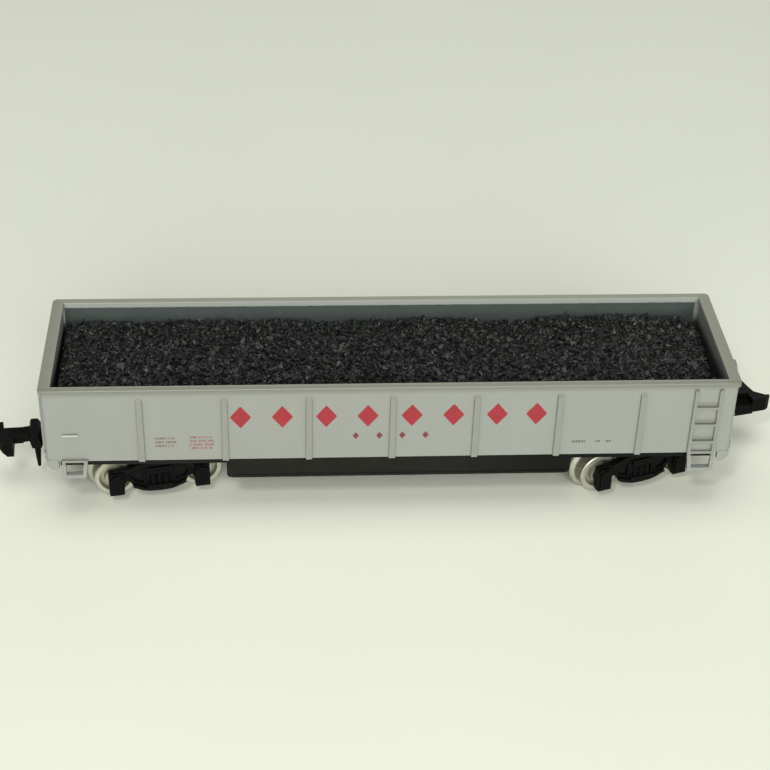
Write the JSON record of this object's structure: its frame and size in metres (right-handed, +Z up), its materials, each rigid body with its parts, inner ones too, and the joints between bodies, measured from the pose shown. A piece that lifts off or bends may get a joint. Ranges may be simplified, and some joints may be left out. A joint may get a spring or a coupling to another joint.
{
  "type": "model railway gondola car",
  "caption": "N scale open freight car: ribbed grey tub with a coal load, black underframe, swivelling four-wheel trucks with metal wheels, and hook couplers.",
  "frame": {"origin": "centre of the car's box, on the plane under the wheel flanges", "axes": "+X along the car towards the brake-wheel end, +Y across, +Z up"},
  "size_m": [0.0985, 0.0208, 0.0182],
  "materials": {
    "body_plastic": "silver-grey painted styrene, satin, with a bare darker grey inside",
    "body_trim": "silver-grey painted styrene, satin",
    "underframe_plastic": "black moulded plastic, satin",
    "truck_plastic": "black acetal, satin",
    "coupler_plastic": "black acetal, satin",
    "bush_plastic": "black insulating plastic",
    "wheel_metal": "turned nickel-plated metal, slightly warm, tarnished in the corners",
    "axle_steel": "turned steel",
    "spring_steel": "drawn spring wire",
    "weight_steel": "rolled sheet steel",
    "coal": "crushed coal, faintly glossy facets"
  },
  "bodies": {
    "car_body": {"body_shell": "body_plastic", "underframe": "underframe_plastic", "weight_plate": "weight_steel", "brake_wheel": "body_trim", "king_pin_a": "truck_plastic", "king_pin_b": "truck_plastic"},
    "load": {"coal_load": "coal"},
    "truck_a": {"truck_frame_a": "truck_plastic", "coupler_cover_a": "coupler_plastic", "coupler_spring_a": "spring_steel"},
    "wheelset_a1": {"axle_a1": "axle_steel", "wheel_a1_plain": "wheel_metal", "wheel_a1_insulated": "wheel_metal", "bush_a1": "bush_plastic"},
    "wheelset_a2": {"axle_a2": "axle_steel", "wheel_a2_plain": "wheel_metal", "wheel_a2_insulated": "wheel_metal", "bush_a2": "bush_plastic"},
    "coupler_arm_a": {"coupler_a": "coupler_plastic"},
    "truck_b": {"truck_frame_b": "truck_plastic", "coupler_cover_b": "coupler_plastic", "coupler_spring_b": "spring_steel"},
    "wheelset_b1": {"axle_b1": "axle_steel", "wheel_b1_plain": "wheel_metal", "wheel_b1_insulated": "wheel_metal", "bush_b1": "bush_plastic"},
    "wheelset_b2": {"axle_b2": "axle_steel", "wheel_b2_plain": "wheel_metal", "wheel_b2_insulated": "wheel_metal", "bush_b2": "bush_plastic"},
    "coupler_arm_b": {"coupler_b": "coupler_plastic"}
  },
  "joints": [
    {"name": "load_lift", "type": "slide", "parent": "car_body", "child": "load", "axis": [0, 0, 1], "range_m": [0, 0.012]},
    {"name": "truck_a_swivel", "type": "hinge", "parent": "car_body", "child": "truck_a", "pos_m": [-0.02882, 0, 0.0065], "axis": [0, 0, 1], "range_deg": [-29.7, 10.3]},
    {"name": "wheelset_a1_spin", "type": "hinge", "parent": "truck_a", "child": "wheelset_a1", "pos_m": [-0.02371, 0.00087, 0.0032], "axis": [0.1685, -0.9857, 0], "continuous": true},
    {"name": "wheelset_a2_spin", "type": "hinge", "parent": "truck_a", "child": "wheelset_a2", "pos_m": [-0.03394, -0.00087, 0.0032], "axis": [0.1685, -0.9857, 0], "continuous": true},
    {"name": "coupler_a_lift", "type": "hinge", "parent": "truck_a", "child": "coupler_arm_a", "pos_m": [-0.04095, -0.00207, 0.00565], "axis": [-0.0732, 0.9973, 0], "range_deg": [0, 10], "stiffness_Nm_per_rad": 0.00002, "springref_deg": -20.05},
    {"name": "truck_b_swivel", "type": "hinge", "parent": "car_body", "child": "truck_b", "pos_m": [0.02917, 0, 0.0065], "axis": [0, 0, 1], "range_deg": [-38, 2]},
    {"name": "wheelset_b1_spin", "type": "hinge", "parent": "truck_b", "child": "wheelset_b1", "pos_m": [0.02424, -0.0016, 0.0032], "axis": [-0.309, 0.9511, 0], "continuous": true},
    {"name": "wheelset_b2_spin", "type": "hinge", "parent": "truck_b", "child": "wheelset_b2", "pos_m": [0.03411, 0.0016, 0.0032], "axis": [-0.309, 0.9511, 0], "continuous": true},
    {"name": "coupler_b_lift", "type": "hinge", "parent": "truck_b", "child": "coupler_arm_b", "pos_m": [0.04087, 0.0038, 0.00565], "axis": [0.2164, -0.9763, 0], "range_deg": [0, 10], "stiffness_Nm_per_rad": 0.00002, "springref_deg": -20.05}
  ]
}
